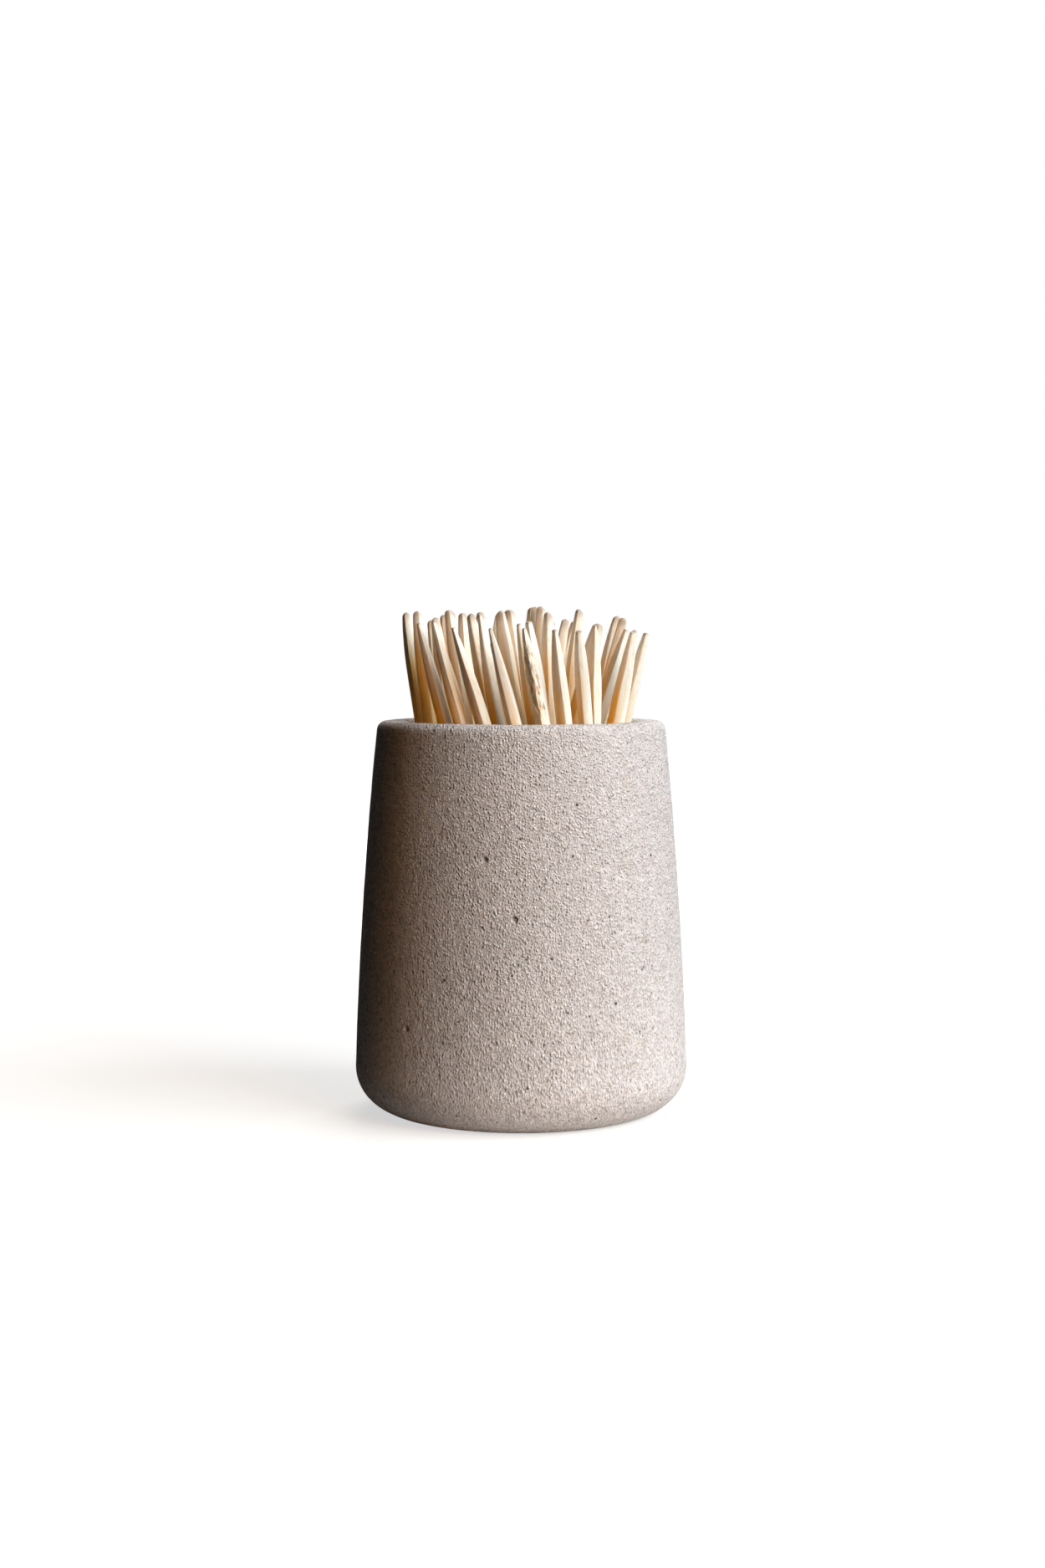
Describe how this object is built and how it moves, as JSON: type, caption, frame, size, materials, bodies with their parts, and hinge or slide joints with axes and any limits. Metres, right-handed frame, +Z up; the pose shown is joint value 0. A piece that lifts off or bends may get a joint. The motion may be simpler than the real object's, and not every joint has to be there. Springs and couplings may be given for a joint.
{
  "type": "toothpick holder",
  "caption": "Small round unglazed stoneware cup, tapering upwards with a soft lip, full of loose double-pointed wooden toothpicks that pull out by hand.",
  "frame": {"origin": "middle of the cup's flat base, at the height of the table", "axes": "+Z up along the cup's axis; -Y towards the pictured front; +X to the right as seen from there"},
  "size_m": [0.0462, 0.0462, 0.0698],
  "materials": {
    "stoneware": "unglazed, warm grey, finely sandy with dark and pale specks",
    "toothpick_wood": "bare pale birch, fine grain along the length"
  },
  "bodies": {
    "cup": {"cup": "stoneware"},
    "toothpick_01": {"toothpick_01": "toothpick_wood"},
    "toothpick_02": {"toothpick_02": "toothpick_wood"},
    "toothpick_03": {"toothpick_03": "toothpick_wood"},
    "toothpick_04": {"toothpick_04": "toothpick_wood"},
    "toothpick_05": {"toothpick_05": "toothpick_wood"},
    "toothpick_06": {"toothpick_06": "toothpick_wood"},
    "toothpick_07": {"toothpick_07": "toothpick_wood"},
    "toothpick_08": {"toothpick_08": "toothpick_wood"},
    "toothpick_09": {"toothpick_09": "toothpick_wood"},
    "toothpick_10": {"toothpick_10": "toothpick_wood"},
    "toothpick_11": {"toothpick_11": "toothpick_wood"},
    "toothpick_12": {"toothpick_12": "toothpick_wood"},
    "toothpick_13": {"toothpick_13": "toothpick_wood"},
    "toothpick_14": {"toothpick_14": "toothpick_wood"},
    "toothpick_15": {"toothpick_15": "toothpick_wood"},
    "toothpick_16": {"toothpick_16": "toothpick_wood"},
    "toothpick_17": {"toothpick_17": "toothpick_wood"},
    "toothpick_18": {"toothpick_18": "toothpick_wood"},
    "toothpick_19": {"toothpick_19": "toothpick_wood"},
    "toothpick_20": {"toothpick_20": "toothpick_wood"},
    "toothpick_21": {"toothpick_21": "toothpick_wood"},
    "toothpick_22": {"toothpick_22": "toothpick_wood"},
    "toothpick_23": {"toothpick_23": "toothpick_wood"},
    "toothpick_24": {"toothpick_24": "toothpick_wood"},
    "toothpick_25": {"toothpick_25": "toothpick_wood"},
    "toothpick_26": {"toothpick_26": "toothpick_wood"},
    "toothpick_27": {"toothpick_27": "toothpick_wood"},
    "toothpick_28": {"toothpick_28": "toothpick_wood"},
    "toothpick_29": {"toothpick_29": "toothpick_wood"},
    "toothpick_30": {"toothpick_30": "toothpick_wood"},
    "toothpick_31": {"toothpick_31": "toothpick_wood"},
    "toothpick_32": {"toothpick_32": "toothpick_wood"},
    "toothpick_33": {"toothpick_33": "toothpick_wood"},
    "toothpick_34": {"toothpick_34": "toothpick_wood"},
    "toothpick_35": {"toothpick_35": "toothpick_wood"},
    "toothpick_36": {"toothpick_36": "toothpick_wood"},
    "toothpick_37": {"toothpick_37": "toothpick_wood"},
    "toothpick_38": {"toothpick_38": "toothpick_wood"},
    "toothpick_39": {"toothpick_39": "toothpick_wood"},
    "toothpick_40": {"toothpick_40": "toothpick_wood"},
    "toothpick_41": {"toothpick_41": "toothpick_wood"},
    "toothpick_42": {"toothpick_42": "toothpick_wood"}
  },
  "joints": [
    {"name": "toothpick_01_pull", "type": "slide", "parent": "cup", "child": "toothpick_01", "axis": [-0.2535, -0.1184, 0.9601], "range_m": [0, 0.066]},
    {"name": "toothpick_02_pull", "type": "slide", "parent": "cup", "child": "toothpick_02", "axis": [-0.2537, -0.11, 0.961], "range_m": [0, 0.066]},
    {"name": "toothpick_03_pull", "type": "slide", "parent": "cup", "child": "toothpick_03", "axis": [-0.2877, -0.1185, 0.9504], "range_m": [0, 0.066]},
    {"name": "toothpick_04_pull", "type": "slide", "parent": "cup", "child": "toothpick_04", "axis": [-0.2364, -0.2092, 0.9489], "range_m": [0, 0.066]},
    {"name": "toothpick_05_pull", "type": "slide", "parent": "cup", "child": "toothpick_05", "axis": [-0.191, -0.2512, 0.9489], "range_m": [0, 0.066]},
    {"name": "toothpick_06_pull", "type": "slide", "parent": "cup", "child": "toothpick_06", "axis": [-0.1114, -0.3049, 0.9459], "range_m": [0, 0.066]},
    {"name": "toothpick_07_pull", "type": "slide", "parent": "cup", "child": "toothpick_07", "axis": [-0.0854, -0.3211, 0.9432], "range_m": [0, 0.066]},
    {"name": "toothpick_08_pull", "type": "slide", "parent": "cup", "child": "toothpick_08", "axis": [0.0016, -0.2989, 0.9543], "range_m": [0, 0.066]},
    {"name": "toothpick_09_pull", "type": "slide", "parent": "cup", "child": "toothpick_09", "axis": [0.1805, -0.2837, 0.9418], "range_m": [0, 0.066]},
    {"name": "toothpick_10_pull", "type": "slide", "parent": "cup", "child": "toothpick_10", "axis": [0.1717, -0.2743, 0.9462], "range_m": [0, 0.066]},
    {"name": "toothpick_11_pull", "type": "slide", "parent": "cup", "child": "toothpick_11", "axis": [0.2194, -0.2565, 0.9413], "range_m": [0, 0.066]},
    {"name": "toothpick_12_pull", "type": "slide", "parent": "cup", "child": "toothpick_12", "axis": [0.2826, -0.1412, 0.9488], "range_m": [0, 0.066]},
    {"name": "toothpick_13_pull", "type": "slide", "parent": "cup", "child": "toothpick_13", "axis": [-0.1729, -0.1342, 0.9757], "range_m": [0, 0.066]},
    {"name": "toothpick_14_pull", "type": "slide", "parent": "cup", "child": "toothpick_14", "axis": [-0.1585, -0.2393, 0.9579], "range_m": [0, 0.066]},
    {"name": "toothpick_15_pull", "type": "slide", "parent": "cup", "child": "toothpick_15", "axis": [-0.1305, -0.2378, 0.9625], "range_m": [0, 0.066]},
    {"name": "toothpick_16_pull", "type": "slide", "parent": "cup", "child": "toothpick_16", "axis": [-0.1816, -0.0769, 0.9804], "range_m": [0, 0.066]},
    {"name": "toothpick_17_pull", "type": "slide", "parent": "cup", "child": "toothpick_17", "axis": [-0.147, -0.0478, 0.988], "range_m": [0, 0.066]},
    {"name": "toothpick_18_pull", "type": "slide", "parent": "cup", "child": "toothpick_18", "axis": [-0.0303, -0.1799, 0.9832], "range_m": [0, 0.066]},
    {"name": "toothpick_19_pull", "type": "slide", "parent": "cup", "child": "toothpick_19", "axis": [-0.1629, -0.0471, 0.9855], "range_m": [0, 0.066]},
    {"name": "toothpick_20_pull", "type": "slide", "parent": "cup", "child": "toothpick_20", "axis": [-0.1304, -0.0879, 0.9876], "range_m": [0, 0.066]},
    {"name": "toothpick_21_pull", "type": "slide", "parent": "cup", "child": "toothpick_21", "axis": [0.0086, 0.0037, 1], "range_m": [0, 0.066]},
    {"name": "toothpick_22_pull", "type": "slide", "parent": "cup", "child": "toothpick_22", "axis": [0.029, 0.0131, 0.9995], "range_m": [0, 0.066]},
    {"name": "toothpick_23_pull", "type": "slide", "parent": "cup", "child": "toothpick_23", "axis": [0.0361, 0.013, 0.9993], "range_m": [0, 0.066]},
    {"name": "toothpick_24_pull", "type": "slide", "parent": "cup", "child": "toothpick_24", "axis": [0.1026, -0.0446, 0.9937], "range_m": [0, 0.066]},
    {"name": "toothpick_25_pull", "type": "slide", "parent": "cup", "child": "toothpick_25", "axis": [-0.1532, 0.0663, 0.986], "range_m": [0, 0.066]},
    {"name": "toothpick_26_pull", "type": "slide", "parent": "cup", "child": "toothpick_26", "axis": [-0.1213, 0.1011, 0.9875], "range_m": [0, 0.066]},
    {"name": "toothpick_27_pull", "type": "slide", "parent": "cup", "child": "toothpick_27", "axis": [-0.164, 0.1092, 0.9804], "range_m": [0, 0.066]},
    {"name": "toothpick_28_pull", "type": "slide", "parent": "cup", "child": "toothpick_28", "axis": [-0.1308, 0.2041, 0.9702], "range_m": [0, 0.066]},
    {"name": "toothpick_29_pull", "type": "slide", "parent": "cup", "child": "toothpick_29", "axis": [-0.1387, 0.1769, 0.9744], "range_m": [0, 0.066]},
    {"name": "toothpick_30_pull", "type": "slide", "parent": "cup", "child": "toothpick_30", "axis": [-0.1193, 0.1475, 0.9818], "range_m": [0, 0.066]},
    {"name": "toothpick_31_pull", "type": "slide", "parent": "cup", "child": "toothpick_31", "axis": [-0.0887, 0.1491, 0.9848], "range_m": [0, 0.066]},
    {"name": "toothpick_32_pull", "type": "slide", "parent": "cup", "child": "toothpick_32", "axis": [-0.0487, 0.1428, 0.9886], "range_m": [0, 0.066]},
    {"name": "toothpick_33_pull", "type": "slide", "parent": "cup", "child": "toothpick_33", "axis": [0.0938, 0.1063, 0.9899], "range_m": [0, 0.066]},
    {"name": "toothpick_34_pull", "type": "slide", "parent": "cup", "child": "toothpick_34", "axis": [0.0694, 0.0857, 0.9939], "range_m": [0, 0.066]},
    {"name": "toothpick_35_pull", "type": "slide", "parent": "cup", "child": "toothpick_35", "axis": [0.223, 0.0897, 0.9707], "range_m": [0, 0.066]},
    {"name": "toothpick_36_pull", "type": "slide", "parent": "cup", "child": "toothpick_36", "axis": [0.2486, 0.0298, 0.9682], "range_m": [0, 0.066]},
    {"name": "toothpick_37_pull", "type": "slide", "parent": "cup", "child": "toothpick_37", "axis": [0.2647, -0.0291, 0.9639], "range_m": [0, 0.066]},
    {"name": "toothpick_38_pull", "type": "slide", "parent": "cup", "child": "toothpick_38", "axis": [0.1904, -0.0591, 0.9799], "range_m": [0, 0.066]},
    {"name": "toothpick_39_pull", "type": "slide", "parent": "cup", "child": "toothpick_39", "axis": [0.0897, 0.1449, 0.9854], "range_m": [0, 0.066]},
    {"name": "toothpick_40_pull", "type": "slide", "parent": "cup", "child": "toothpick_40", "axis": [0.1833, -0.1581, 0.9703], "range_m": [0, 0.066]},
    {"name": "toothpick_41_pull", "type": "slide", "parent": "cup", "child": "toothpick_41", "axis": [0.2513, -0.1244, 0.9599], "range_m": [0, 0.066]},
    {"name": "toothpick_42_pull", "type": "slide", "parent": "cup", "child": "toothpick_42", "axis": [0.2253, 0.0214, 0.9741], "range_m": [0, 0.066]}
  ]
}
